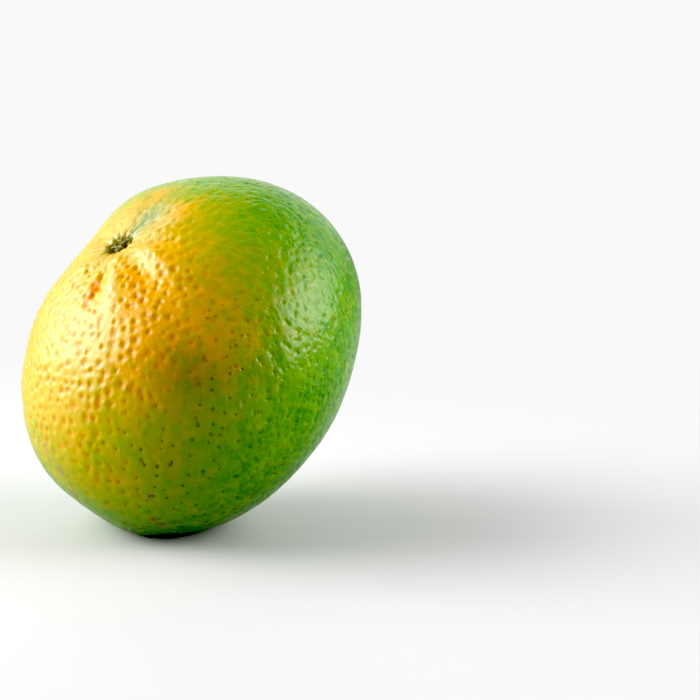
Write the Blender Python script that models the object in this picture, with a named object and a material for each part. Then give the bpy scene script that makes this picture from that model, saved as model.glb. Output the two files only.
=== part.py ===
"""Arrayana mandarin: one whole picked fruit on its small flat spot, with its withered calyx.

Metres, +Z up. The origin is the middle of the fruit's box, on the surface that it rests on.
The fruit grows in a frame of its own, with +Z along the core and out of the stem end, and
is then laid down. Longitudes and latitudes are degrees in that frame, and angles round the
stem are degrees too. Longitude 0 is the side that the fruit leans to.
"""

import math

import bmesh
import bpy
from mathutils import Matrix, Vector

COLLECTION_NAME = "arrayana_mandarin"

# The fruit's main sizes
HALF_WIDTH = 0.0363          # from the core to the widest part of the peel
STEM_HEIGHT = 0.0299         # from the middle up the core to the stem end
BLOSSOM_HEIGHT = 0.0283      # from the middle down the core to the blossom end
OVALNESS = 0.023             # how far the equator departs from a circle, as a share
OVAL_LONGITUDE = 34

# How the fruit lies: the core leans over, and a flat spot takes the weight
LEAN = 44
LEAN_HEADING = -158.5
MIDDLE = Vector((0.0008, 0.0, 0.0321))

# Swells and flats of the peel: longitude, latitude, rise and spread in degrees
SHOULDERS = (
    (-143, 54, 0.0011, 16),      # high shoulder behind the stem
    (-166, 38, 0.0008, 37),      # full upper side
    (4, -5, -0.00085, 12),       # flat on the side that the fruit leans to
    (23, -33, 0.0011, 30),       # heavy base
    (-3, -50, 0.0011, 17),       # pad under the weight
    (142, -39, -0.00125, 32),    # flattened side, away from the lean
)

# The stem end: a broad hollow with a narrow pit in it
STEM_LONGITUDE = 119
STEM_LATITUDE = 74.7
STEM_HOLLOW_DEPTH = 0.0015
STEM_HOLLOW_SPREAD = 15
STEM_DIP_LONGITUDE = -88     # the hollow runs on over the core, as a shallower dip
STEM_DIP_LATITUDE = 68
STEM_DIP_DEPTH = 0.0009
STEM_DIP_SPREAD = 14
PIT_LONGITUDE = 128          # the pit lies a little off the middle of the hollow
PIT_LATITUDE = 76.4
PIT_DEPTH = 0.0023
PIT_REACH = 4.9              # half of the pit's mouth the long way, from the fruit's middle
PIT_NARROWING = 0.36         # how much narrower the mouth is the other way
PIT_NARROW_AT = 10           # heading of the narrow way
PIT_WALL = 0.55

# Furrows and ridges that run out from the stem: heading round the stem, half width,
# where it is deepest, how far it runs either way, and rise
FURROWS = (
    (-28, 26, 17, 10, -0.0005),  # broad valley
    (-64, 13, 16, 8, 0.0003),    # its right bank
    (16, 14, 21, 10, 0.0002),    # its left bank
    (-175, 8, 19, 8, -0.0008),   # furrow on the left
    (-155, 9, 21, 10, 0.0006),   # ridge beside it
    (-125, 11, 24, 11, -0.0008),  # furrow down the near side
    (-105, 8, 20, 9, 0.0004),    # ridge beside the near furrow
    (-86, 8, 18, 7, -0.0003),
    (-150, 45, 8, 2.5, 0.0004),  # near lip of the pit
    (66, 14, 14, 8, -0.0004),    # furrow that notches the outline
    (120, 12, 15, 8, 0.0003),
    (150, 9, 13, 6, -0.0004),
)
PUCKERS = 13                 # short folds round the mouth of the pit
PUCKER_RISE = 0.00012
PUCKER_PLACE = 6.8
PUCKER_SPREAD = 2.3

# The blossom end: a shallow dimple with a small scar
BLOSSOM_DEPTH = 0.0007
BLOSSOM_SPREAD = 8
SCAR_DEPTH = 0.0004
SCAR_SPREAD = 2.2

# The withered calyx: a five-lobed star that fills the bottom of the pit, clear of the peel
CALYX_LOBES = 5
CALYX_WAIST = 3.4            # reach of the notches between the lobes, from the middle
CALYX_TIP = 5.0              # reach of the lobes' tips
CALYX_THICKNESS = 0.0011
CALYX_GAP = 0.0003
BUTTON_RISE = 0.0006         # scar where the stalk broke off, raised in the middle
BUTTON_SPREAD = 1.5

# Fineness of the faces
PEEL_SUBDIVISIONS = 5
FINER_WITHIN = (27, 11)      # faces this near the stem are split again, in turn
BLOSSOM_FINER_WITHIN = 9
CALYX_SEGMENTS = 40
CALYX_RINGS = 12
LEVEL_WITHIN = 0.0003        # corners this near the surface are laid on it, so no slivers are cut
MERGE_DISTANCE = 0.00001


def own_direction(longitude, latitude):
    """Unit vector of the fruit's own frame."""
    turn, rise = math.radians(longitude), math.radians(latitude)
    return Vector((math.cos(turn) * math.cos(rise), math.sin(turn) * math.cos(rise),
                   math.sin(rise)))


def degrees_between(first, second):
    return math.degrees(first.angle(second, 0.0))


def bell(distance, spread):
    """1 in the middle, fading to nothing past about twice the spread."""
    return math.exp(-(distance / spread) ** 2)


CORE = Vector((0.0, 0.0, 1.0))
STEM = own_direction(STEM_LONGITUDE, STEM_LATITUDE)
STEM_DIP = own_direction(STEM_DIP_LONGITUDE, STEM_DIP_LATITUDE)
STEM_ACROSS = CORE.cross(STEM).normalized()
STEM_TO_CORE = STEM.cross(STEM_ACROSS)
PIT = own_direction(PIT_LONGITUDE, PIT_LATITUDE)
PIT_ACROSS = CORE.cross(PIT).normalized()
PIT_TO_CORE = PIT.cross(PIT_ACROSS)
LAID_DOWN = (Matrix.Rotation(math.radians(LEAN_HEADING), 3, "Z")
             @ Matrix.Rotation(math.radians(LEAN), 3, "Y"))


def flattened_ball(direction):
    """The plain form: wider than tall, a little oval, taller on the stem side."""
    longitude = math.atan2(direction.y, direction.x)
    oval = math.cos(2 * (longitude - math.radians(OVAL_LONGITUDE)))
    across = math.hypot(direction.x, direction.y) / (HALF_WIDTH * (1 + OVALNESS * oval))
    height = STEM_HEIGHT if direction.z > 0 else BLOSSOM_HEIGHT
    return 1 / math.hypot(across, direction.z / height)


def narrowing(heading):
    """How much nearer the pit's wall is at a heading than the long way of the mouth."""
    return 1 + PIT_NARROWING * math.cos(heading - math.radians(PIT_NARROW_AT)) ** 2


def pit_relief(direction):
    """The pit, and the short folds round its mouth."""
    heading = math.atan2(direction.dot(PIT_TO_CORE), direction.dot(PIT_ACROSS))
    away = degrees_between(direction, PIT) * narrowing(heading)
    folds = PUCKER_RISE * math.cos(PUCKERS * heading) * bell(away - PUCKER_PLACE, PUCKER_SPREAD)
    return folds - PIT_DEPTH / (1 + math.exp((away - PIT_REACH) / PIT_WALL))


def stem_relief(direction):
    """The hollow, the pit, and the furrows that run out from them."""
    away = degrees_between(direction, STEM)
    heading = math.degrees(math.atan2(direction.dot(STEM_TO_CORE), direction.dot(STEM_ACROSS)))
    rise = -STEM_HOLLOW_DEPTH * bell(away, STEM_HOLLOW_SPREAD)
    rise -= STEM_DIP_DEPTH * bell(degrees_between(direction, STEM_DIP), STEM_DIP_SPREAD)
    for furrow_heading, half_width, middle, run, furrow_rise in FURROWS:
        aside = (heading - furrow_heading + 180) % 360 - 180
        rise += furrow_rise * bell(aside, half_width) * bell(away - middle, run)
    return rise + pit_relief(direction)


def blossom_relief(direction):
    away = degrees_between(direction, -CORE)
    return -BLOSSOM_DEPTH * bell(away, BLOSSOM_SPREAD) - SCAR_DEPTH * bell(away, SCAR_SPREAD)


def peel_radius(direction):
    """Distance from the fruit's middle to the peel along a unit vector."""
    radius = flattened_ball(direction)
    for longitude, latitude, rise, spread in SHOULDERS:
        away = degrees_between(direction, own_direction(longitude, latitude))
        radius += rise * bell(away, spread)
    return radius + stem_relief(direction) + blossom_relief(direction)


def place(direction, radius):
    """Where a point of the fruit's own frame lies once the fruit is laid down."""
    return LAID_DOWN @ (direction * radius) + MIDDLE


def plain_material(name, colour, roughness):
    material = bpy.data.materials.new(name)
    material.use_nodes = True
    shader = material.node_tree.nodes["Principled BSDF"]
    shader.inputs["Base Color"].default_value = (*colour, 1.0)
    shader.inputs["Roughness"].default_value = roughness
    shader.inputs["Metallic"].default_value = 0.0
    return material


def add_piece(name, body, material, collection):
    mesh = bpy.data.meshes.new(name)
    body.to_mesh(mesh)
    body.free()
    mesh.materials.append(material)
    mesh.shade_smooth()
    mesh.set_sharp_from_angle(angle=math.radians(40))
    piece = bpy.data.objects.new(name, mesh)
    collection.objects.link(piece)
    return piece


def refine(body, centre, reach):
    """Split the faces near a direction of the fruit's own frame."""
    edges = [edge for edge in body.edges
             if all(degrees_between(vert.co, centre) < reach for vert in edge.verts)]
    bmesh.ops.subdivide_edges(body, edges=edges, cuts=1, use_grid_fill=True)
    bmesh.ops.triangulate(body, faces=[face for face in body.faces if len(face.verts) > 3])


def build_fruit(collection):
    """The peel as a ball pushed out to its form, then cut off level where it rests."""
    body = bmesh.new()
    bmesh.ops.create_icosphere(body, subdivisions=PEEL_SUBDIVISIONS, radius=1.0)
    for reach in FINER_WITHIN:
        refine(body, STEM, reach)
    refine(body, -CORE, BLOSSOM_FINER_WITHIN)
    for vert in body.verts:
        direction = vert.co.normalized()
        vert.co = place(direction, peel_radius(direction))
        if abs(vert.co.z) < LEVEL_WITHIN:
            vert.co.z = 0.0
    cut = bmesh.ops.bisect_plane(body, geom=body.verts[:] + body.edges[:] + body.faces[:],
                                 dist=MERGE_DISTANCE, plane_co=(0, 0, 0), plane_no=(0, 0, -1),
                                 clear_outer=True)
    rim = [item for item in cut["geom_cut"] if isinstance(item, bmesh.types.BMEdge)]
    bmesh.ops.contextual_create(body, geom=rim)
    bmesh.ops.remove_doubles(body, verts=body.verts, dist=MERGE_DISTANCE)
    bmesh.ops.triangulate(body, faces=body.faces)
    bmesh.ops.recalc_face_normals(body, faces=body.faces)
    peel = plain_material("peel", (0.55, 0.52, 0.03), 0.42)
    return add_piece("fruit", body, peel, collection)


def build_calyx(collection):
    """A low star laid over the pit's floor, its lobes turned up against the pit's wall."""
    body = bmesh.new()
    bmesh.ops.create_uvsphere(body, u_segments=CALYX_SEGMENTS, v_segments=CALYX_RINGS, radius=1.0)
    for vert in body.verts:
        heading = math.atan2(vert.co.y, vert.co.x)
        outward = math.hypot(vert.co.x, vert.co.y)
        lobe = (0.5 + 0.5 * math.cos(CALYX_LOBES * heading)) ** 1.5
        away = outward * (CALYX_WAIST + (CALYX_TIP - CALYX_WAIST) * lobe) / narrowing(heading)
        across = PIT_ACROSS * math.cos(heading) + PIT_TO_CORE * math.sin(heading)
        direction = (PIT + across * math.tan(math.radians(away))).normalized()
        above = CALYX_GAP + CALYX_THICKNESS * (0.5 + 0.5 * vert.co.z)
        if vert.co.z > 0:
            above += BUTTON_RISE * bell(away, BUTTON_SPREAD) * vert.co.z
        vert.co = place(direction, peel_radius(direction) + above)
    bmesh.ops.triangulate(body, faces=body.faces)
    bmesh.ops.recalc_face_normals(body, faces=body.faces)
    dry = plain_material("calyx", (0.10, 0.085, 0.02), 0.8)
    return add_piece("calyx", body, dry, collection)


for leftover in list(bpy.data.objects):
    bpy.data.objects.remove(leftover)
parts = bpy.data.collections.new(COLLECTION_NAME)
bpy.context.scene.collection.children.link(parts)
build_fruit(parts)
build_calyx(parts)
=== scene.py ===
"""Arrayana mandarin: one whole fruit, green ripening to yellow and orange round its stem end."""

import math

import bmesh
import bpy
import numpy as np
from mathutils import Matrix, Vector, kdtree, noise


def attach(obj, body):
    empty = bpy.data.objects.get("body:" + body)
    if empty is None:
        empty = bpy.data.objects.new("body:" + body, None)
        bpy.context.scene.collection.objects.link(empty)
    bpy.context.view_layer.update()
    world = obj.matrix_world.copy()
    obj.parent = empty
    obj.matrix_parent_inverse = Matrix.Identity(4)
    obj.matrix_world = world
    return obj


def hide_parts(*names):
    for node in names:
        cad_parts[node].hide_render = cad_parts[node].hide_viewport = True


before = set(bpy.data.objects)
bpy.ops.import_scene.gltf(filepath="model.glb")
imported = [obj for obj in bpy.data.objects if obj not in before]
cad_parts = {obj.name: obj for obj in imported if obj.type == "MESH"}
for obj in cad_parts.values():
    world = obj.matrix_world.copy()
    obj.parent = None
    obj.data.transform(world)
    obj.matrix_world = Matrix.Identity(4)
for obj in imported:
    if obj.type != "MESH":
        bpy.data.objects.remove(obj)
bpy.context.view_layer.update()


# The peel. A thin leathery rind full of oil glands, which grew as one piece, loose on the flesh.
# Furrows run out of the hollow where the stalk was, and each gland shows as a small pit,
# deepest where the rind is ripe.

# The form, as the solid has it: sizes in metres, angles in degrees of the fruit's own frame,
# which has +Z along the core and out of the stem end
HALF_WIDTH = 0.0363
STEM_HEIGHT = 0.0299
BLOSSOM_HEIGHT = 0.0283
OVALNESS = 0.023
OVAL_LONGITUDE = 34
LEAN = 44
LEAN_HEADING = -158.5
MIDDLE = np.array((0.0008, 0.0, 0.0321))
MILLIMETRE = 0.001
# Swellings and flats of the outline: longitude, latitude, rise and spread
SHOULDERS = (
    (-143, 54, 0.0011, 16),
    (-166, 38, 0.0008, 37),
    (4, -5, -0.00085, 12),
    (23, -33, 0.0011, 30),
    (-3, -50, 0.0011, 17),
    (142, -39, -0.00125, 32),
)
STEM_LONGITUDE = 119
STEM_LATITUDE = 74.7
STEM_HOLLOW_DEPTH = 0.0015
STEM_HOLLOW_SPREAD = 15
STEM_DIP_LONGITUDE = -88
STEM_DIP_LATITUDE = 68
STEM_DIP_DEPTH = 0.0009
STEM_DIP_SPREAD = 14
PIT_LONGITUDE = 128
PIT_LATITUDE = 76.4
PIT_DEPTH = 0.0023
PIT_REACH = 4.9
PIT_NARROWING = 0.36
PIT_NARROW_AT = 10
PIT_WALL = 0.55
# Furrows and ridges: heading round the stem, half width, middle and run away from the stem,
# all in degrees, then the rise
FURROWS = (
    (-28, 26, 17, 10, -0.0005),
    (-64, 13, 16, 8, 0.0003),
    (16, 14, 21, 10, 0.0002),
    (-175, 8, 19, 8, -0.0008),
    (-155, 9, 21, 10, 0.0006),
    (-125, 11, 24, 11, -0.0008),
    (-105, 8, 20, 9, 0.0004),
    (-86, 8, 18, 7, -0.0003),
    (-150, 45, 8, 2.5, 0.0004),
    (66, 14, 14, 8, -0.0004),
    (120, 12, 15, 8, 0.0003),
    (150, 9, 13, 6, -0.0004),
)
PUCKERS = 13
PUCKER_RISE = 0.00012
PUCKER_PLACE = 6.8
PUCKER_SPREAD = 2.3
BLOSSOM_DEPTH = 0.0007
BLOSSOM_SPREAD = 8
SCAR_DEPTH = 0.0004
SCAR_SPREAD = 2.2
STEEPEST = 60

# Fineness of the mesh: corners gather towards the ripe cheek and the stem
FACE_CUTS = 126
GATHER = 0.32
GATHER_TOWARDS = (-0.58, -0.64, 0.50)

# Relief finer than the solid, sunk a little so that its crests stay inside the solid: slow
# unevenness, and fine folds that wander out from the pit
RELIEF_SINK = 0.00018
UNEVEN_SIZE = 0.011
UNEVEN_RISE = 0.00022
UNEVEN_SHIFT = 3.1
LUMP_SIZE = 0.0042
LUMP_RISE = 0.00008
LUMP_SHIFT = 11.7
NOISE_MOVE = (1.0, 0.37, -0.61)
FOLDS = 29
FOLD_RISE = 0.00006
FOLD_PLACE = 8.0
FOLD_SPREAD = 4.0
FOLD_WANDER = 2.2

# Oil glands: how many, how unevenly they lie, the range of their sizes and of how strongly
# each shows, and the pit of each, which is deep on the pebbled ripe cheek and a shallow dimple
# elsewhere. None shows in the calm ring round the stem pit.
GLAND_COUNT = 2650
GLAND_SCATTER = 0.42
GLAND_SEED = 7
GLAND_SIZES = (0.78, 1.22)
GLAND_VIGOURS = (0.45, 1.0)
GLAND_REACH = 0.00100
PEBBLED_DEPTH = 0.00025
DIMPLE_DEPTH = 0.00008
CALM_RING = (8.0, 15.0)
PEBBLED_WHERE_RIPE = (0.52, 0.86)
# The hollow of a pit and the low rim round it, in shares of the gland's reach
HOLLOW_SPREAD = 0.62
RIM_PLACE = 1.25
RIM_SPREAD = 0.4
RIM_HEIGHT = 0.2
RIM_END = 2.0


def own_direction(longitude, latitude):
    turn, rise = math.radians(longitude), math.radians(latitude)
    return np.array((math.cos(turn) * math.cos(rise), math.sin(turn) * math.cos(rise),
                     math.sin(rise)))


def degrees_between(directions, centre):
    return np.degrees(np.arccos(np.clip(directions @ centre, -1.0, 1.0)))


def bell(distance, spread):
    return np.exp(-(distance / spread) ** 2)


def axes_across(centre):
    """Two directions across a direction of the fruit's own frame."""
    first = np.cross((0.0, 0.0, 1.0), centre)
    first /= np.linalg.norm(first)
    return first, np.cross(centre, first)


def turn_round(directions, axes):
    """Radians round the direction that the axes lie across."""
    return np.arctan2(directions @ axes[1], directions @ axes[0])


STEM = own_direction(STEM_LONGITUDE, STEM_LATITUDE)
STEM_AXES = axes_across(STEM)
PIT = own_direction(PIT_LONGITUDE, PIT_LATITUDE)
PIT_AXES = axes_across(PIT)
BLOSSOM = np.array((0.0, 0.0, -1.0))
LAID_DOWN = np.array(Matrix.Rotation(math.radians(LEAN_HEADING), 3, "Z")
                     @ Matrix.Rotation(math.radians(LEAN), 3, "Y"))


def pit_narrowing(turn):
    """How much nearer the pit's lip is at a turn round it, since its mouth is oval."""
    return 1 + PIT_NARROWING * np.cos(turn - math.radians(PIT_NARROW_AT)) ** 2


def away_from_pit(directions):
    """Degrees from the pit's middle, counted faster across the narrow way of its mouth."""
    return degrees_between(directions, PIT) * pit_narrowing(turn_round(directions, PIT_AXES))


def pit_relief(directions):
    away = away_from_pit(directions)
    folds = np.cos(PUCKERS * turn_round(directions, PIT_AXES))
    steepness = np.exp(np.minimum((away - PIT_REACH) / PIT_WALL, STEEPEST))
    puckers = PUCKER_RISE * folds * bell(away - PUCKER_PLACE, PUCKER_SPREAD)
    return puckers - PIT_DEPTH / (1 + steepness)


def degrees_aside(directions, heading):
    """Degrees round the stem from a heading, from -180 to 180."""
    return (np.degrees(turn_round(directions, STEM_AXES)) - heading + 180) % 360 - 180


def streak_share(directions, heading, half_width, middle, run):
    """1 on the middle of a streak that runs out from the stem, fading along and across it."""
    away = degrees_between(directions, STEM)
    return bell(degrees_aside(directions, heading), half_width) * bell(away - middle, run)


def peel_radius(directions):
    """Distance from the fruit's middle to the peel along unit vectors, as the solid has it."""
    longitude = np.arctan2(directions[:, 1], directions[:, 0])
    oval = np.cos(2 * (longitude - math.radians(OVAL_LONGITUDE)))
    across = np.hypot(directions[:, 0], directions[:, 1]) / (HALF_WIDTH * (1 + OVALNESS * oval))
    height = np.where(directions[:, 2] > 0, STEM_HEIGHT, BLOSSOM_HEIGHT)
    radius = 1 / np.hypot(across, directions[:, 2] / height)
    for lon, lat, rise, spread in SHOULDERS:
        radius += rise * bell(degrees_between(directions, own_direction(lon, lat)), spread)
    from_blossom = degrees_between(directions, BLOSSOM)
    radius -= BLOSSOM_DEPTH * bell(from_blossom, BLOSSOM_SPREAD)
    radius -= SCAR_DEPTH * bell(from_blossom, SCAR_SPREAD)
    radius -= STEM_HOLLOW_DEPTH * bell(degrees_between(directions, STEM), STEM_HOLLOW_SPREAD)
    dip = own_direction(STEM_DIP_LONGITUDE, STEM_DIP_LATITUDE)
    radius -= STEM_DIP_DEPTH * bell(degrees_between(directions, dip), STEM_DIP_SPREAD)
    for *streak, rise in FURROWS:
        radius += rise * streak_share(directions, *streak)
    return radius + pit_relief(directions)


def place(directions, radius):
    return (directions * radius[:, None]) @ LAID_DOWN.T + MIDDLE


def smooth_noise(points, size, shift):
    """Perlin noise from -1 to 1 at each point, its lumps about as large as size."""
    move = Vector([share * shift for share in NOISE_MOVE])
    return np.array([noise.noise(Vector(point) / size + move) for point in points])


def smooth_step(values, low, high):
    share = np.clip((values - low) / (high - low), 0.0, 1.0)
    return share * share * (3 - 2 * share)


# Ripening spreads from the sunny side of the stem end. Each patch then adds to it or takes
# from it: its direction in the part's own axes, its strength, and its spread in degrees
SUNNY_SIDE = (-0.647, -0.639, 0.417)
RIPE_REACH = 52.0
RIPE_FADE = 15.5
RIPE_LEAST = 0.1
RIPE_GAIN = 1.15
RIPE_PATCHES = (
    ((0.23, -0.93, 0.29), 0.13, 14),
    ((0.45, -0.55, 0.70), -0.05, 17),
    ((0.65, -0.62, 0.42), 0.11, 18),
    ((-0.46, -0.82, -0.33), -0.07, 8),
    ((-0.54, -0.84, -0.08), 0.07, 8),
    ((-0.08, -0.94, -0.30), 0.07, 15),
    ((-0.30, -0.93, -0.22), -0.17, 12),
    ((-0.32, -0.78, -0.55), 0.20, 12),
    ((0.05, -0.99, 0.08), -0.13, 13),
    ((0.35, 0.90, -0.10), 0.25, 24),
)
ORANGE_PATCHES = (
    ((-0.17, -0.91, 0.38), 1.00, 15),
    ((0.13, -0.95, 0.29), 0.34, 13),
    ((-0.25, -0.96, 0.13), 0.45, 9),
    ((-0.10, -0.68, 0.73), 0.45, 9),
    ((-0.70, -0.61, 0.37), 0.80, 14),
    ((-0.09, -0.38, 0.92), 0.80, 7),
)
# Painted shade: a darker patch on the front, where a slight hollow would lie in shade
PAINTED_SHADE_PATCHES = (
    ((0.02, -0.99, 0.09), 1.00, 9),
)
PEBBLED_PATCHES = (
    ((-0.68, -0.72, 0.15), 1.15, 48),
    ((-0.17, -0.84, 0.52), 0.80, 17),
)
RUSTY_PATCHES = (
    ((0.27, -0.91, 0.31), 1.00, 15),
    ((0.05, -0.98, 0.19), 0.50, 12),
)
DOTTED_PATCHES = (
    ((-0.20, -0.88, -0.43), 1.00, 30),
    ((0.20, -0.95, 0.10), 0.50, 18),
    ((-0.60, 0.60, -0.50), 0.90, 40),
)
SPECKLED_PATCHES = (
    ((0.60, -0.62, -0.50), 1.00, 30),
    ((0.60, 0.70, -0.30), 0.70, 40),
)
SCAR_PATCHES = (
    ((-0.17, -0.68, -0.71), 1.0, 2.0),
    ((-0.12, -0.62, -0.77), 0.9, 2.0),
    ((-0.70, -0.54, -0.47), 0.8, 5.0),
    ((-0.60, -0.50, -0.62), 0.7, 4.0),
)

# Streaks that run out from the stem: orange ones of colour, and cream ones of painted highlight
# on the ridges beside it. Heading, half width, middle and run as for the furrows, then how strong
ORANGE_STREAKS = (
    (-137, 12, 24, 11, 1.10),
    (177, 7.0, 21, 6.0, 2.40),
    (165, 3.0, 12, 4, 0.60),
    (-95, 9, 18, 6, 0.60),
    (-116, 10, 14, 5, 0.50),
    (-3, 6, 27, 7, 0.80),
    (12, 13, 20, 8, 0.40),
)
# Painted highlight: cream laid along the ridges beside the stem, where they would catch the light
PAINTED_HIGHLIGHT_STREAKS = (
    (-156, 6, 21, 8, 0.90),
    (-111, 4, 18, 8, 0.15),
    (-60, 8, 18, 6, 0.45),
)


def patch_sum(outward, patches):
    total = np.zeros(len(outward))
    for towards, strength, spread in patches:
        middle = np.array(towards) / np.linalg.norm(towards)
        total += strength * bell(degrees_between(outward, middle), spread)
    return total


def streak_sum(directions, streaks):
    return sum(strength * streak_share(directions, *streak) for *streak, strength in streaks)


def ripeness_of(outward):
    """From 0, deep green, to 1, golden."""
    sunny = np.array(SUNNY_SIDE) / np.linalg.norm(SUNNY_SIDE)
    away = degrees_between(outward, sunny)
    ripe = RIPE_LEAST + RIPE_GAIN / (1 + np.exp((away - RIPE_REACH) / RIPE_FADE))
    return np.clip(ripe + patch_sum(outward, RIPE_PATCHES), 0.0, 1.0)


# The valley as the streaks are given, the place, spread and strength of the ring round the pit,
# and the side of the pit where the ring shows most
COLLAR_VALLEY = (-22, 23, 15, 8)
COLLAR_RING = (6.3, 2.6)
COLLAR_RING_SHARE = 0.55
COLLAR_SIDE = 30
# Fine stripes that run out from the pit: how close they lie, how many degrees long they are,
# and the ring in which they are strong before they fade
STRIPES = 9.0
STRIPE_LENGTH = 7.0
STRIPE_RING = 8.0
STRIPE_FADE = 6.0
# Where the brown of the pit and of the blossom scar ends, in degrees from their middles
STEM_PIT_EDGE = (3.8, 5.1)
BLOSSOM_SCAR_EDGE = (1.8, 3.0)


def stem_collar(directions):
    """The whitish grey green skin in the widest furrow and on the upper side of the pit."""
    heading, half_width, middle, run = COLLAR_VALLEY
    past_middle = np.maximum(degrees_between(directions, STEM) - middle, 0)
    valley = bell(degrees_aside(directions, heading), half_width) * bell(past_middle, run)
    turn = turn_round(directions, PIT_AXES) - math.radians(COLLAR_SIDE)
    ring = bell(away_from_pit(directions) - COLLAR_RING[0], COLLAR_RING[1])
    return np.maximum(valley, COLLAR_RING_SHARE * ring * (0.5 + 0.5 * np.cos(turn)))


def stripe_place(directions):
    """A place for each corner in which noise turns into fine stripes running out from the pit."""
    turn = turn_round(directions, PIT_AXES)
    along = degrees_between(directions, PIT) / STRIPE_LENGTH
    return np.stack([STRIPES * np.cos(turn), STRIPES * np.sin(turn), along], axis=1)


def scatter_glands():
    """A direction, a size and a vigour each: a spiral over the ball, every point nudged."""
    draw = np.random.default_rng(GLAND_SEED)
    step = np.arange(GLAND_COUNT) + 0.5
    fall = np.arccos(1 - 2 * step / GLAND_COUNT)
    turn = math.pi * (1 + math.sqrt(5)) * step
    spiral = np.stack([np.cos(turn) * np.sin(fall), np.sin(turn) * np.sin(fall),
                       np.cos(fall)], axis=1)
    spacing = math.sqrt(4 * math.pi / GLAND_COUNT)
    spiral += draw.normal(0, GLAND_SCATTER * spacing * 0.5, spiral.shape)
    glands = spiral / np.linalg.norm(spiral, axis=1)[:, None]
    sizes = draw.uniform(*GLAND_SIZES, GLAND_COUNT)
    return glands, sizes, draw.uniform(*GLAND_VIGOURS, GLAND_COUNT)


def tree_of(directions):
    tree = kdtree.KDTree(len(directions))
    for index, direction in enumerate(directions):
        tree.insert(direction, index)
    tree.balance()
    return tree


def gland_pits(directions, pebbled, glands, sizes, vigours):
    """How deep each corner sinks into the pits of the glands round it."""
    tree = tree_of(directions)
    depth = np.zeros(len(directions))
    for gland, size, vigour in zip(glands, sizes, vigours):
        pebble = pebbled[tree.find(gland)[1]]
        reach = size * GLAND_REACH / HALF_WIDTH
        deep = vigour * (DIMPLE_DEPTH + pebble * (PEBBLED_DEPTH - DIMPLE_DEPTH))
        for _, index, distance in tree.find_range(gland, RIM_END * reach):
            hollow = math.exp(-(distance / (HOLLOW_SPREAD * reach)) ** 2)
            rim = math.exp(-((distance - RIM_PLACE * reach) / (RIM_SPREAD * reach)) ** 2)
            depth[index] += deep * (hollow - RIM_HEIGHT * rim)
    return depth


def build_peel_mesh():
    body = bmesh.new()
    bmesh.ops.create_cube(body, size=2.0)
    bmesh.ops.subdivide_edges(body, edges=body.edges[:], cuts=FACE_CUTS, use_grid_fill=True)
    bmesh.ops.recalc_face_normals(body, faces=body.faces)
    mesh = bpy.data.meshes.new("peel")
    body.to_mesh(mesh)
    body.free()
    corners = np.empty(len(mesh.vertices) * 3)
    mesh.vertices.foreach_get("co", corners)
    even = np.tan(corners.reshape(-1, 3) * math.pi / 4)
    even /= np.linalg.norm(even, axis=1)[:, None]
    outward = even + GATHER * np.array(GATHER_TOWARDS) / np.linalg.norm(GATHER_TOWARDS)
    outward /= np.linalg.norm(outward, axis=1)[:, None]
    directions = outward @ LAID_DOWN
    coarse = place(directions, peel_radius(directions))
    slow = smooth_noise(coarse, UNEVEN_SIZE, UNEVEN_SHIFT)
    lumps = smooth_noise(coarse, LUMP_SIZE, LUMP_SHIFT)
    from_pit = away_from_pit(directions)
    from_blossom = degrees_between(directions, BLOSSOM)
    calm = 1 - smooth_step(from_pit, *CALM_RING)
    ripe = ripeness_of(outward)
    pebbled = np.clip(patch_sum(outward, PEBBLED_PATCHES), 0.0, 1.0)
    pebbled *= smooth_step(ripe, *PEBBLED_WHERE_RIPE)
    pebbled *= 1 - calm
    glands, sizes, vigours = scatter_glands()
    depth = gland_pits(directions, pebbled, glands, sizes, vigours)
    gland_tree = tree_of(glands)
    nearest = np.array([gland_tree.find(direction)[1] for direction in directions])
    from_gland = (directions - glands[nearest]) * HALF_WIDTH / sizes[nearest][:, None]
    folds = np.cos(FOLDS * turn_round(directions, PIT_AXES) + FOLD_WANDER * lumps)
    rise = UNEVEN_RISE * slow + LUMP_RISE * lumps - RELIEF_SINK
    rise += FOLD_RISE * folds * bell(from_pit - FOLD_PLACE, FOLD_SPREAD)
    rise -= depth * (1 - calm)
    points = place(directions, peel_radius(directions) + rise)
    points[:, 2] = np.maximum(points[:, 2], 0.0)
    mesh.vertices.foreach_set("co", points.ravel())
    masks = {
        "ripeness": ripe,
        "orange": patch_sum(outward, ORANGE_PATCHES) + streak_sum(directions, ORANGE_STREAKS),
        "painted_highlight": streak_sum(directions, PAINTED_HIGHLIGHT_STREAKS),
        "painted_shade": patch_sum(outward, PAINTED_SHADE_PATCHES),
        "rusty": patch_sum(outward, RUSTY_PATCHES),
        "dotted": np.clip(patch_sum(outward, DOTTED_PATCHES), 0.0, 1.0) * (1 - pebbled),
        "speckled": patch_sum(outward, SPECKLED_PATCHES),
        "scarred": patch_sum(outward, SCAR_PATCHES),
        "pebbled": pebbled,
        "vigour": vigours[nearest],
        "gland_distance": np.linalg.norm(from_gland, axis=1),
        "near_pit": bell(np.maximum(from_pit - STRIPE_RING, 0), STRIPE_FADE),
        "stem_pit": 1 - smooth_step(from_pit, *STEM_PIT_EDGE),
        "stem_collar": stem_collar(directions),
        "blossom_scar": 1 - smooth_step(from_blossom, *BLOSSOM_SCAR_EDGE),
    }
    for name, values in masks.items():
        mesh.attributes.new(name, "FLOAT", "POINT").data.foreach_set("value", values)
    for name, values in (("stripes", stripe_place(directions)), ("from_gland", from_gland)):
        attribute = mesh.attributes.new(name, "FLOAT_VECTOR", "POINT")
        attribute.data.foreach_set("vector", values.ravel())
    mesh.update()
    mesh.shade_smooth()
    return mesh


def new_material(name):
    material = bpy.data.materials.new(name)
    material.use_nodes = True
    tree = material.node_tree
    tree.nodes.clear()
    output = tree.nodes.new("ShaderNodeOutputMaterial")
    shader = tree.nodes.new("ShaderNodeBsdfPrincipled")
    tree.links.new(shader.outputs[0], output.inputs[0])
    return material, tree, shader


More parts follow.
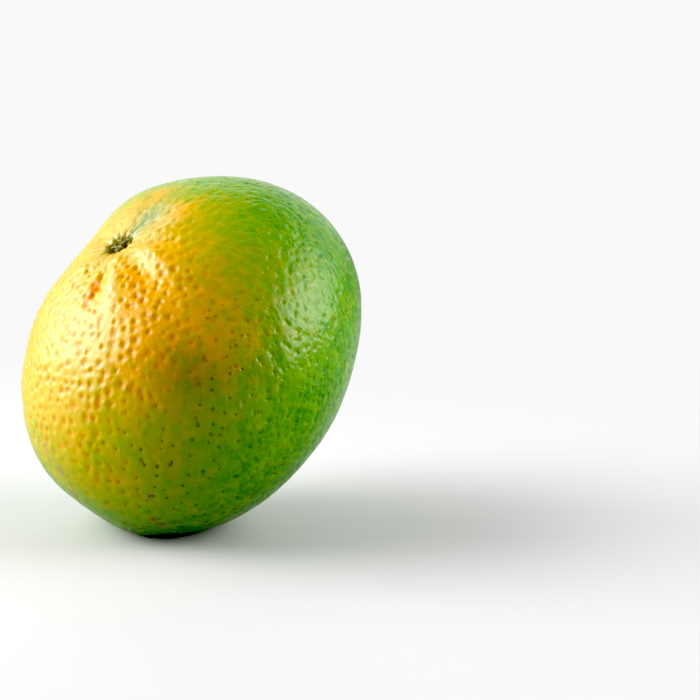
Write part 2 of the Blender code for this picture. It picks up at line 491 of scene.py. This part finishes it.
def add_node(tree, kind, inputs=(), **settings):
    """A node with its settings, and its inputs given as values or as other sockets."""
    made = tree.nodes.new("ShaderNode" + kind)
    for name, value in settings.items():
        setattr(made, name, value)
    for key, value in dict(inputs).items():
        if isinstance(value, bpy.types.NodeSocket):
            tree.links.new(value, made.inputs[key])
        else:
            made.inputs[key].default_value = value
    return made


def arithmetic(tree, operation, *values):
    return add_node(tree, "Math", dict(enumerate(values)), operation=operation).outputs[0]


def mix_colours(tree, share, first, second, blend="MIX"):
    made = add_node(tree, "Mix", {0: share, 6: first, 7: second}, data_type="RGBA",
                    blend_type=blend)
    return made.outputs[2]


def colour_ramp(tree, factor, stops):
    made = add_node(tree, "ValToRGB", {0: factor})
    band = made.color_ramp
    while len(band.elements) < len(stops):
        band.elements.new(0.5)
    for element, (position, colour) in zip(band.elements, stops):
        element.position = position
        element.color = (*colour, 1.0)
    return made.outputs[0]


def read_mask(tree, name):
    return add_node(tree, "Attribute", attribute_name=name).outputs["Fac"]


def stepped(tree, value, start, end, low=0.0, high=1.0):
    """A smooth change from low to high while a value goes from start to end."""
    made = add_node(tree, "MapRange", {0: value, 1: start, 2: end, 3: low, 4: high},
                    interpolation_type="SMOOTHSTEP")
    return made.outputs[0]


# Colours: the ground from green to golden, then those of the marks. The painted shade, the
# flecks, the marbling and the pin and stripe shades only darken what lies under them
RIND_COLOURS = (
    (0.00, (0.040, 0.225, 0.001)),
    (0.16, (0.083, 0.298, 0.001)),
    (0.36, (0.170, 0.352, 0.001)),
    (0.56, (0.288, 0.355, 0.001)),
    (0.76, (0.420, 0.350, 0.001)),
    (1.00, (0.545, 0.362, 0.008)),
)
ORANGE = (0.740, 0.360, 0.0005, 1.0)
DEEP_ORANGE = (0.700, 0.230, 0.0005, 1.0)
GOLDEN_PIT = (0.580, 0.250, 0.001, 1.0)
# Painted highlight: the cream laid on the ridges beside the stem
PAINTED_HIGHLIGHT_TINT = (0.600, 0.480, 0.130, 1.0)
PAINTED_SHADE_TINT = (0.720, 0.720, 1.000, 1.0)
RUST = (0.330, 0.110, 0.001, 1.0)
SPECKLE = (0.340, 0.340, 0.008, 1.0)
GREEN_FLECK = (0.500, 0.680, 0.400, 1.0)
MARBLE = (0.680, 0.800, 0.700, 1.0)
FRECKLE = (0.400, 0.420, 0.020, 1.0)
COLLAR = (0.340, 0.390, 0.160, 1.0)
COLLAR_STRIPE = (0.250, 0.300, 0.070, 1.0)
SCAR = (0.300, 0.150, 0.070, 1.0)
PIN_SHADE = (0.260, 0.340, 0.250, 1.0)
STRIPE_SHADE = (0.780, 0.740, 0.300, 1.0)
PIT_WALL_BROWN = (0.060, 0.050, 0.006, 1.0)
BLOSSOM_BROWN = (0.180, 0.110, 0.040, 1.0)
SCAB = (0.330, 0.210, 0.130, 1.0)
RED_SCAB = (0.240, 0.090, 0.020, 1.0)
DARK_DOT = (0.050, 0.050, 0.012, 1.0)
# Painted highlight: the pale of small dashes where tiny bumps would glint
PAINTED_GLINT = (0.380, 0.400, 0.100, 1.0)
OLIVE_STREAK = (0.130, 0.150, 0.008, 1.0)
# How much of the rind's colour each mark covers
ORANGE_COVER = 0.92
RUST_COVER = 0.80
MARBLE_COVER = 0.60
FRECKLE_COVER = 0.30
FLECK_COVER = 0.75
SPECKLE_COVER = 0.65
BLEMISH_AND_GLINT_COVER = 0.75
GOLDEN_COVER = 0.95
BROWN_COVER = 0.85
# Blemishes, and pale dashes of painted highlight on tiny bumps: the middle and the half sizes of
# each in millimetres, and its colour
BLEMISHES_AND_GLINTS = (
    ((-5.9, -30.3, 11.7), (0.7, 0.9, 1.3), SCAB),
    ((-5.8, -30.3, 11.6), (0.35, 0.6, 0.45), DARK_DOT),
    ((-5.8, -25.5, 6.0), (1.0, 1.1, 0.55), RED_SCAB),
    ((-4.7, -24.2, 4.9), (1.1, 1.3, 0.50), RED_SCAB),
    ((-3.7, -22.9, 4.0), (0.8, 1.2, 0.45), SCAB),
    ((-25.8, -19.5, 17.8), (0.8, 0.8, 2.4), SCAB),
    ((-23.1, -21.4, 14.4), (0.9, 0.9, 1.8), SCAB),
    ((-21.6, -18.8, 9.6), (0.9, 0.9, 1.4), SCAB),
    ((-3.8, -33.1, 25.9), (2.1, 1.4, 0.40), OLIVE_STREAK),
    ((-8.6, -32.6, 26.6), (0.9, 1.2, 0.30), OLIVE_STREAK),
    # Painted highlights: pale dashes where tiny bumps would glint
    ((11.0, -34.6, 29.3), (0.28, 0.6, 0.9), PAINTED_GLINT),
    ((14.9, -32.7, 27.5), (0.25, 0.6, 0.7), PAINTED_GLINT),
    ((17.4, -31.7, 31.8), (0.25, 0.6, 0.8), PAINTED_GLINT),
    ((16.7, -31.8, 36.0), (0.25, 0.6, 0.7), PAINTED_GLINT),
)
# How ragged a noise makes the edge of each mark, and the strength of orange that turns deep
ORANGE_RAGGED = 1.6
PAINTED_HIGHLIGHT_RAGGED = 1.2
RUST_RAGGED = 1.5
COLLAR_RAGGED = 1.0
BLEMISH_AND_GLINT_RAGGED = 3.0
DEEP_ORANGE_START = 1.1
# Grains of the peel: how many lumps to a metre, and how much finer detail each noise has
BROAD_GRAIN = (120, 3)
BLOTCH_GRAIN = (420, 2)
FINE_GRAIN = (900, 2)
MARBLE_GRAIN = (300, 4)
FRECKLE_GRAIN = (620, 3)
CRINKLE_GRAIN = (560, 2)
SKIN_GRAIN = (2100, 2)
# Small cells in which a fleck, a rust spot or a speckle sits, to a metre
FLECK_CELLS = 900
RUST_CELLS = 640
SPECKLE_CELLS = 1150
# How far the broad, the blotched and the fine grain shift the ripeness, the middle of their
# sum, and how much calmer the green is
MOTTLE_SHARES = (0.42, 0.62, 0.30)
MOTTLE_MEAN = 0.67
MOTTLE_CALM = -0.1
# Green share of the rind: how it falls as the ripeness rises, and where it starts
GREEN_FALL = (-2.2, 1.4)
# Where each mark starts and ends: in metres from a gland, then in values of its own noise
PIT_EDGE = (0.00036, 0.00080)
PIN_EDGE = (0.00014, 0.00042)
HOLLOW_EDGE = (0.00010, 0.00085)
FLECK_EDGE = (0.10, 0.36)
RUST_EDGE = (0.12, 0.32)
SPECKLE_EDGE = (0.14, 0.32)
MARBLE_EDGE = (0.44, 0.60)
FRECKLE_EDGE = (0.54, 0.68)
COLLAR_STRIPE_EDGE = (0.45, 0.62)
STRIPE_EDGE = (0.48, 0.64)
SCAR_EDGE = (0.42, 0.56)
BLEMISH_AND_GLINT_EDGE = (1.80, 2.70)
DIMPLE_EDGE = (0.05, 0.60)
# A gland's mark is ragged, ends short of the next gland, and is fainter where it has less vigour
GLAND_RAGGED = (0.9, 0.55)
GLAND_MARGIN = 0.00025
PIT_VIGOUR = (0.45, 0.80, 0.45, 1.0)
PIN_VIGOUR = (0.55, 0.75, 0.25, 1.0)
# Finest relief: its full height in metres, then the share of each part in it
BUMP_HEIGHT = 0.00016
DIMPLE_HEIGHT = (0.22, 0.18)
SKIN_HEIGHT = 0.15
CRINKLE_HEIGHT = 0.80
PIN_HEIGHT = -0.70
HOLLOW_HEIGHT = 0.62
STRIPE_HEIGHT = 0.45
# Gloss of the waxy skin, and how far light spreads in it
ROUGHNESS = 0.22
GREEN_ROUGHNESS = -0.08
BLOTCH_ROUGHNESS = 0.12
WAX_SPECULAR = 0.34
LIGHT_IN_RIND = 0.08
LIGHT_SPREAD = (0.0020, 0.0012, 0.0003)


def make_peel_material():
    """Waxy rind: colour by ripeness with mottling, darker pits, and a fine grained gloss."""
    material, tree, shader = new_material("peel")

    def noise_of(scale, detail):
        inputs = {"Vector": at, "Scale": scale, "Detail": detail}
        return add_node(tree, "TexNoise", inputs).outputs[0]

    def cells_of(scale):
        return add_node(tree, "TexVoronoi", {"Vector": at, "Scale": scale}).outputs["Distance"]

    def times(first, second):
        return arithmetic(tree, "MULTIPLY", first, second)

    def times_plus(first, second, third):
        return arithmetic(tree, "MULTIPLY_ADD", first, second, third)

    def clamp(value):
        return add_node(tree, "Clamp", {0: value}).outputs[0]

    def ragged(mask, wobble, amount):
        """A mask whose edge is broken up by a noise, and which stays 0 where it is 0."""
        return clamp(times(mask, times_plus(wobble, 2 * amount, 1 - amount)))

    def away_from(centre, reach):
        """How far from the middle of a blemish or painted highlight, in its own half sizes."""
        middle = [MILLIMETRE * part for part in centre]
        offset = add_node(tree, "VectorMath", {0: at, 1: middle}, operation="SUBTRACT").outputs[0]
        per_size = [1 / (MILLIMETRE * size) for size in reach]
        shares = add_node(tree, "VectorMath", {0: offset, 1: per_size},
                          operation="MULTIPLY").outputs[0]
        return add_node(tree, "VectorMath", {0: shares}, operation="LENGTH").outputs["Value"]

    def layer(rind, share, colour, blend="MIX"):
        return mix_colours(tree, share, rind, colour, blend)

    at = add_node(tree, "TexCoord").outputs["Object"]
    masks = {name: read_mask(tree, name) for name in (
        "ripeness", "orange", "painted_highlight", "painted_shade", "rusty", "dotted", "speckled", "scarred",
        "pebbled", "vigour", "gland_distance", "near_pit", "stem_pit", "stem_collar",
        "blossom_scar")}
    stripe_at = add_node(tree, "Attribute", attribute_name="stripes").outputs["Vector"]
    stripe_inputs = {"Vector": stripe_at, "Scale": 1.0, "Detail": 2.0}
    stripe = add_node(tree, "TexNoise", stripe_inputs).outputs[0]
    broad, blotch, fine = noise_of(*BROAD_GRAIN), noise_of(*BLOTCH_GRAIN), noise_of(*FINE_GRAIN)
    fleck_cells = cells_of(FLECK_CELLS)
    flecks = stepped(tree, fleck_cells, *FLECK_EDGE, 1.0, 0.0)
    rust_spots = stepped(tree, cells_of(RUST_CELLS), *RUST_EDGE, 1.0, 0.0)
    speckles = stepped(tree, cells_of(SPECKLE_CELLS), *SPECKLE_EDGE, 1.0, 0.0)
    gland_at = add_node(tree, "Attribute", attribute_name="from_gland").outputs["Vector"]
    from_gland = add_node(tree, "VectorMath", {0: gland_at}, operation="LENGTH").outputs["Value"]
    midway = arithmetic(tree, "SUBTRACT", masks["gland_distance"], GLAND_MARGIN)
    from_gland = arithmetic(tree, "MAXIMUM", from_gland, midway)
    from_gland = times(from_gland, times_plus(fine, *GLAND_RAGGED))
    pits = times(stepped(tree, from_gland, *PIT_EDGE, 1.0, 0.0), masks["pebbled"])
    pits = times(pits, stepped(tree, masks["vigour"], *PIT_VIGOUR))
    pins = times(stepped(tree, from_gland, *PIN_EDGE, 1.0, 0.0),
                 stepped(tree, masks["vigour"], *PIN_VIGOUR))
    pinned = times(pins, masks["dotted"])
    green = clamp(times_plus(masks["ripeness"], *GREEN_FALL))

    # Ripeness, mottled, gives the ground colour, and each mark is then laid over it
    broad_share, blotch_share, fine_share = MOTTLE_SHARES
    wobble = times_plus(blotch, blotch_share, times(fine, fine_share))
    wobble = times_plus(broad, broad_share, wobble)
    wobble = arithmetic(tree, "SUBTRACT", wobble, MOTTLE_MEAN)
    mottled = times_plus(wobble, times_plus(green, MOTTLE_CALM, 1.0), masks["ripeness"])
    rind = colour_ramp(tree, mottled, RIND_COLOURS)
    orange = ragged(masks["orange"], blotch, ORANGE_RAGGED)
    rind = layer(rind, times(orange, ORANGE_COVER), ORANGE)
    deep_orange = clamp(arithmetic(tree, "SUBTRACT", masks["orange"], DEEP_ORANGE_START))
    rind = layer(rind, deep_orange, DEEP_ORANGE)
    # Painted highlight: cream streaks on the ridges beside the stem
    rind = layer(rind, ragged(masks["painted_highlight"], blotch, PAINTED_HIGHLIGHT_RAGGED), PAINTED_HIGHLIGHT_TINT)
    # Painted shade: the darker patch on the front of the fruit
    rind = layer(rind, masks["painted_shade"], PAINTED_SHADE_TINT, "MULTIPLY")
    rusty = times(rust_spots, ragged(masks["rusty"], broad, RUST_RAGGED))
    rind = layer(rind, times(rusty, RUST_COVER), RUST)
    marbled = times(stepped(tree, noise_of(*MARBLE_GRAIN), *MARBLE_EDGE), green)
    rind = layer(rind, times(marbled, MARBLE_COVER), MARBLE, "MULTIPLY")
    freckled = times(stepped(tree, noise_of(*FRECKLE_GRAIN), *FRECKLE_EDGE), green)
    rind = layer(rind, times(freckled, FRECKLE_COVER), FRECKLE)
    rind = layer(rind, times(times(flecks, green), FLECK_COVER), GREEN_FLECK, "MULTIPLY")
    speckled = times(speckles, clamp(masks["speckled"]))
    rind = layer(rind, times(speckled, SPECKLE_COVER), SPECKLE)
    in_stripe = stepped(tree, stripe, *COLLAR_STRIPE_EDGE)
    collar = mix_colours(tree, in_stripe, COLLAR, COLLAR_STRIPE)
    rind = layer(rind, ragged(masks["stem_collar"], blotch, COLLAR_RAGGED), collar)
    striped = times(stepped(tree, stripe, *STRIPE_EDGE), masks["near_pit"])
    rind = layer(rind, striped, STRIPE_SHADE, "MULTIPLY")
    rind = layer(rind, stepped(tree, times(masks["scarred"], fine), *SCAR_EDGE), SCAR)
    # Blemishes, and the pale dashes of painted highlight
    for centre, reach, colour in BLEMISHES_AND_GLINTS:
        ragged_away = times_plus(fine, BLEMISH_AND_GLINT_RAGGED, away_from(centre, reach))
        rind = layer(rind, stepped(tree, ragged_away, *BLEMISH_AND_GLINT_EDGE, BLEMISH_AND_GLINT_COVER, 0.0), colour)
    rind = layer(rind, pinned, PIN_SHADE, "MULTIPLY")
    rind = layer(rind, times(pits, GOLDEN_COVER), GOLDEN_PIT)
    rind = layer(rind, masks["blossom_scar"], BLOSSOM_BROWN)
    rind = layer(rind, times(masks["stem_pit"], BROWN_COVER), PIT_WALL_BROWN)
    tree.links.new(rind, shader.inputs["Base Color"])

    height = times(stepped(tree, fleck_cells, *DIMPLE_EDGE), times_plus(green, *DIMPLE_HEIGHT))
    height = times_plus(noise_of(*SKIN_GRAIN), SKIN_HEIGHT, height)
    height = times_plus(noise_of(*CRINKLE_GRAIN), CRINKLE_HEIGHT, height)
    height = times_plus(pinned, PIN_HEIGHT, height)
    hollows = times(stepped(tree, from_gland, *HOLLOW_EDGE), green)
    height = times_plus(hollows, HOLLOW_HEIGHT, height)
    height = times_plus(times(stripe, masks["near_pit"]), STRIPE_HEIGHT, height)
    bump = add_node(tree, "Bump", {"Height": height, "Distance": BUMP_HEIGHT, "Strength": 1.0})
    tree.links.new(bump.outputs[0], shader.inputs["Normal"])
    rough = times_plus(green, GREEN_ROUGHNESS, times(blotch, BLOTCH_ROUGHNESS))
    tree.links.new(arithmetic(tree, "ADD", rough, ROUGHNESS), shader.inputs["Roughness"])
    shader.inputs["Specular IOR Level"].default_value = WAX_SPECULAR
    shader.inputs["Subsurface Weight"].default_value = LIGHT_IN_RIND
    shader.inputs["Subsurface Radius"].default_value = LIGHT_SPREAD
    shader.inputs["Subsurface Scale"].default_value = 1.0
    return material


def put_in_scene(name, data):
    made = bpy.data.objects.new(name, data)
    bpy.context.scene.collection.objects.link(made)
    return made


peel = put_in_scene("mandarin_peel", build_peel_mesh())
peel.data.materials.append(make_peel_material())
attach(peel, "root")
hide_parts("fruit")


# The calyx. The green star that held the fruit to its stalk, dried to an olive brown crust and
# still grown to the bottom of the stem pit. Its lobes shrank and crumbled, and dry tan fibres
# of the stalk curl over it.

CALYX_LOBES = 5
CALYX_WAIST = 3.4
CALYX_TIP = 5.0
LOBE_SHARPNESS = 1.5
CALYX_THICKNESS = 0.0011
CALYX_GAP = 0.0003
BUTTON_RISE = 0.0006
BUTTON_SPREAD = 1.5
CALYX_SEGMENTS = 200
CALYX_RINGS = 60
CRUST_SIZE = 0.00075
CRUST_RISE = 0.00038
CRUMB_SIZE = 0.0003
CRUMB_RISE = 0.00010

# Fibres: points that each bends between, in millimetres right, up and out of the pit's mouth,
# and its half thickness
FIBRES = (
    (((-1.3, 1.3, -0.6), (-0.3, 2.1, -0.1), (0.7, 0.9, -0.2), (1.5, 0.1, -0.7)), 0.11),
    (((-2.1, 0.5, -0.5), (-1.2, -0.3, -0.1), (-0.2, -0.2, -0.3), (0.6, -0.9, -0.7)), 0.12),
    (((0.2, 1.9, -0.6), (0.3, 1.1, 0.3), (0.5, 0.7, -0.1), (0.4, 0.2, -0.7)), 0.09),
    (((1.2, 0.9, -0.8), (2.1, 1.6, 0.2), (2.7, 1.1, 0.3), (3.1, 1.5, -0.1)), 0.08),
    (((-0.9, -0.9, -0.8), (-0.5, 0.3, 0.2), (-1.2, 0.9, 0.0), (-1.7, 0.2, -0.7)), 0.08),
)
# Curls: middle, reach, first and last turn in degrees, and half thickness
CURLS = (
    ((2.0, 0.5, -0.45), 0.62, -60, 330, 0.12),
    ((0.9, 0.5, -0.55), 0.42, 100, 420, 0.09),
)
CURL_TIGHTENING = 0.35
CURL_RISE = 0.35
FIBRE_SIDES = 10
FIBRE_STEPS = 40
FIBRE_TAPER = 3.0
PATH_STEP = 0.02

PIT_OUT = LAID_DOWN @ PIT
PIT_RIGHT = np.array((1.0, 0.0, 0.0)) - PIT_OUT[0] * PIT_OUT
PIT_RIGHT /= np.linalg.norm(PIT_RIGHT)
PIT_UP = np.cross(PIT_OUT, PIT_RIGHT)
PIT_MOUTH = place(PIT[None], peel_radius(PIT[None]) + PIT_DEPTH)[0]


def in_pit(right, up, out):
    """A place in the part's axes from millimetres right, up and out of the pit's mouth."""
    return PIT_MOUTH + (PIT_RIGHT * right + PIT_UP * up + PIT_OUT * out) * MILLIMETRE


def bend(points, share):
    """A place on the smooth curve that bends between points."""
    rest = [np.array(point) for point in points]
    while len(rest) > 1:
        rest = [near * (1 - share) + far * share for near, far in zip(rest, rest[1:])]
    return rest[0]


def curl(middle, reach, first, last, share):
    """A place on a curl that tightens and rises as it turns."""
    turn = math.radians(first + (last - first) * share)
    close = reach * (1 - CURL_TIGHTENING * share)
    offset = (math.cos(turn) * close, math.sin(turn) * close, CURL_RISE * share)
    return np.array(middle) + offset


def add_fibre(body, path, thickness):
    """A ball drawn out along a path, so that both ends taper."""
    made = bmesh.ops.create_uvsphere(body, u_segments=FIBRE_SIDES, v_segments=FIBRE_STEPS,
                                     radius=1.0)
    for vert in made["verts"]:
        share = math.acos(max(-1.0, min(1.0, -vert.co.z))) / math.pi
        ball_girth = math.sin(share * math.pi)
        girth = min(1.0, FIBRE_TAPER * ball_girth) / max(ball_girth, 0.001)
        before = in_pit(*path(max(share - PATH_STEP, 0.0)))
        after = in_pit(*path(min(share + PATH_STEP, 1.0)))
        along = (after - before) / np.linalg.norm(after - before)
        side = np.cross(along, PIT_OUT)
        side /= np.linalg.norm(side)
        over = np.cross(side, along)
        centre = in_pit(*path(share))
        offset = (side * vert.co.x + over * vert.co.y) * girth * thickness * MILLIMETRE
        vert.co = centre + offset


def build_calyx_mesh():
    body = bmesh.new()
    bmesh.ops.create_uvsphere(body, u_segments=CALYX_SEGMENTS, v_segments=CALYX_RINGS, radius=1.0)
    for vert in body.verts:
        heading = math.atan2(vert.co.y, vert.co.x)
        outward = math.hypot(vert.co.x, vert.co.y)
        lobe = (0.5 + 0.5 * math.cos(CALYX_LOBES * heading)) ** LOBE_SHARPNESS
        away = outward * (CALYX_WAIST + (CALYX_TIP - CALYX_WAIST) * lobe) / pit_narrowing(heading)
        across = PIT_AXES[0] * math.cos(heading) + PIT_AXES[1] * math.sin(heading)
        direction = PIT + across * math.tan(math.radians(away))
        direction = (direction / np.linalg.norm(direction))[None]
        spot = Vector((direction[0] * HALF_WIDTH).tolist())
        lumps = noise.noise(spot / CRUST_SIZE)
        crumbs = noise.noise(spot / CRUMB_SIZE)
        above = CALYX_GAP + CALYX_THICKNESS * (0.5 + 0.5 * vert.co.z)
        if vert.co.z > 0:
            above += (CRUST_RISE * lumps + CRUMB_RISE * crumbs) * vert.co.z
            above += BUTTON_RISE * math.exp(-(away / BUTTON_SPREAD) ** 2) * vert.co.z
        vert.co = place(direction, peel_radius(direction) + above)[0]
    crust = len(body.verts)
    for points, thickness in FIBRES:
        add_fibre(body, lambda share, points=points: bend(points, share), thickness)
    for *ring, thickness in CURLS:
        add_fibre(body, lambda share, ring=ring: curl(*ring, share), thickness)
    bmesh.ops.recalc_face_normals(body, faces=body.faces)
    mesh = bpy.data.meshes.new("calyx")
    body.to_mesh(mesh)
    body.free()
    fibrous = (np.arange(len(mesh.vertices)) >= crust).astype(float)
    mesh.attributes.new("fibrous", "FLOAT", "POINT").data.foreach_set("value", fibrous)
    mesh.shade_smooth()
    return mesh


CRUST_COLOURS = (
    (0.32, (0.050, 0.034, 0.008)),
    (0.46, (0.130, 0.140, 0.016)),
    (0.58, (0.220, 0.200, 0.035)),
    (0.70, (0.450, 0.370, 0.150)),
)
FIBRE_COLOURS = (
    (0.35, (0.260, 0.220, 0.070)),
    (0.65, (0.560, 0.500, 0.270)),
)
PATCH_GRAIN = (1100, 4)
PATCH_HEIGHT = 0.0002
PATCH_STRENGTH = 0.8
DRY_ROUGHNESS = 0.75


def make_calyx_material():
    """Dry plant skin: olive green to brown in patches, and tan fibres."""
    material, tree, shader = new_material("calyx")
    at = add_node(tree, "TexCoord").outputs["Object"]
    inputs = {"Vector": at, "Scale": PATCH_GRAIN[0], "Detail": PATCH_GRAIN[1]}
    patches = add_node(tree, "TexNoise", inputs).outputs[0]
    crust = colour_ramp(tree, patches, CRUST_COLOURS)
    fibre = colour_ramp(tree, patches, FIBRE_COLOURS)
    tree.links.new(mix_colours(tree, read_mask(tree, "fibrous"), crust, fibre),
                   shader.inputs["Base Color"])
    bump = add_node(tree, "Bump", {"Height": patches, "Distance": PATCH_HEIGHT,
                                   "Strength": PATCH_STRENGTH})
    tree.links.new(bump.outputs[0], shader.inputs["Normal"])
    shader.inputs["Roughness"].default_value = DRY_ROUGHNESS
    return material


calyx = put_in_scene("dry_calyx", build_calyx_mesh())
calyx.data.materials.append(make_calyx_material())
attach(calyx, "root")
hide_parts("calyx")


# The table. A plain matt white board that the fruit lies loose on. It keeps the soft shadow
# near the fruit, and fades to white further away.

TABLE_HALF = 6.0
SHADOW_REACH = (0.04, 0.20)
BRIGHT_BOARD = (0.605, 0.60, 0.605, 1.0)
DIM_BOARD = (0.42, 0.42, 0.41, 1.0)
BOARD_ROUGHNESS = 0.6
FAR_WHITE = (0.95, 0.95, 0.95, 1.0)


def build_table_mesh():
    body = bmesh.new()
    bmesh.ops.create_grid(body, x_segments=2, y_segments=2, size=TABLE_HALF)
    mesh = bpy.data.meshes.new("table")
    body.to_mesh(mesh)
    body.free()
    material, tree, shader = new_material("table")
    seen = add_node(tree, "LightPath").outputs["Is Camera Ray"]
    board = mix_colours(tree, seen, DIM_BOARD, BRIGHT_BOARD)
    tree.links.new(board, shader.inputs["Base Color"])
    shader.inputs["Roughness"].default_value = BOARD_ROUGHNESS
    at = add_node(tree, "TexCoord").outputs["Object"]
    away = add_node(tree, "VectorMath", {0: at}, operation="LENGTH").outputs["Value"]
    fade = arithmetic(tree, "MULTIPLY", stepped(tree, away, *SHADOW_REACH), seen)
    glow = add_node(tree, "Emission", {"Color": FAR_WHITE, "Strength": 1.0})
    blend = add_node(tree, "MixShader", {0: fade, 1: shader.outputs[0], 2: glow.outputs[0]})
    output = next(item for item in tree.nodes if item.type == "OUTPUT_MATERIAL")
    tree.links.new(blend.outputs[0], output.inputs[0])
    mesh.materials.append(material)
    return mesh


table = put_in_scene("table", build_table_mesh())


# The light. Two large soft boxes stand on the table, one each side, each brightest in its
# middle, and the white sweep behind glows. The side towards the camera stays dim.

SOFT_BOXES = (
    # name, azimuth from the camera's side, elevation, distance, width, height, radiance
    ("left_box", -95, 27, 0.62, 0.96, 0.70, 3.0),
    ("left_core", -92, 25, 0.60, 0.46, 0.34, 8.4),
    ("right_box", 90, 27, 0.62, 0.72, 0.60, 2.5),
    ("right_core", 85, 22, 0.60, 0.38, 0.34, 4.4),
)
LIGHT_CENTRE = Vector((0.0, 0.0, 0.034))
# The sweep's glow, and the dim room's. It starts behind the fruit, weakens overhead, and is
# shaded low at the right: where each change starts and ends, then what it goes from and to
SWEEP_GLOW = 1.0
ROOM_GLOW = 0.03
SWEEP_START = (-0.05, 0.40)
SWEEP_TOP = (0.45, 0.90, 1.0, 0.3)
SHADED_SIDE = (0.10, 0.60)
SHADED_LOW = (0.05, 0.35, 0.75, 0.0)
SWEEP_WHITE = (0.95, 0.955, 0.95, 1.0)
BLACK_LEVEL = 0.045


def add_soft_box(name, azimuth, elevation, distance, width, height, radiance):
    light = bpy.data.lights.new(name, "AREA")
    light.shape = "RECTANGLE"
    light.size, light.size_y = width, height
    light.energy = radiance * math.pi * width * height
    lamp = put_in_scene(name, light)
    turn, rise = math.radians(azimuth), math.radians(elevation)
    outward = Vector((math.sin(turn) * math.cos(rise), -math.cos(turn) * math.cos(rise),
                      math.sin(rise)))
    lamp.location = LIGHT_CENTRE + outward * distance
    lamp.rotation_euler = outward.to_track_quat("Z", "Y").to_euler()
    lamp.visible_camera = False


for box in SOFT_BOXES:
    add_soft_box(*box)

room = bpy.data.worlds.new("room")
room.use_nodes = True
room_tree = room.node_tree
room_tree.nodes.clear()
towards = add_node(room_tree, "TexCoord").outputs["Generated"]
split = add_node(room_tree, "SeparateXYZ", {0: towards})
rightward, backward, upward = split.outputs
shaded = arithmetic(room_tree, "MULTIPLY", stepped(room_tree, rightward, *SHADED_SIDE),
                    stepped(room_tree, upward, *SHADED_LOW))
lit = arithmetic(room_tree, "SUBTRACT", 1.0, shaded)
glow = arithmetic(room_tree, "MULTIPLY", stepped(room_tree, backward, *SWEEP_START), lit)
glow = arithmetic(room_tree, "MULTIPLY", glow, stepped(room_tree, upward, *SWEEP_TOP))
glow = arithmetic(room_tree, "MULTIPLY_ADD", glow, SWEEP_GLOW, ROOM_GLOW)
dim = add_node(room_tree, "Background", {"Color": (1.0, 1.0, 1.0, 1.0), "Strength": glow})
white = add_node(room_tree, "Background", {"Color": SWEEP_WHITE, "Strength": 1.0})
seen = add_node(room_tree, "LightPath").outputs["Is Camera Ray"]
room_mix = add_node(room_tree, "MixShader", {0: seen, 1: dim.outputs[0], 2: white.outputs[0]})
room_output = room_tree.nodes.new("ShaderNodeOutputWorld")
room_tree.links.new(room_mix.outputs[0], room_output.inputs[0])
bpy.context.scene.world = room
film = bpy.context.scene.view_settings
film.view_transform = "Standard"
film.use_curve_mapping = True
film.curve_mapping.black_level = (BLACK_LEVEL, BLACK_LEVEL, BLACK_LEVEL)


# The camera. A long lens a little above the table, level with the middle of the fruit. It is
# aimed to the right of it, so that the fruit fills the left half of a square frame.

CAMERA_RISE = 10
CAMERA_DISTANCE = 0.450
LENS = 120.5
SENSOR = 36.0
AIM_RIGHT = 0.0296
AIM_UP = 0.0010
CLOSEST = 0.01
FARTHEST = 20.0


def add_camera():
    rise = math.radians(CAMERA_RISE)
    back = Vector((0.0, -math.cos(rise), math.sin(rise)))
    up = Vector((0.0, math.sin(rise), math.cos(rise)))
    aim = Vector(MIDDLE) + Vector((AIM_RIGHT, 0.0, 0.0)) + up * AIM_UP
    data = bpy.data.cameras.new("camera")
    data.lens, data.sensor_width = LENS, SENSOR
    data.clip_start, data.clip_end = CLOSEST, FARTHEST
    camera = put_in_scene("camera", data)
    camera.location = aim + back * CAMERA_DISTANCE
    camera.rotation_euler = back.to_track_quat("Z", "Y").to_euler()
    return camera


bpy.context.scene.camera = add_camera()
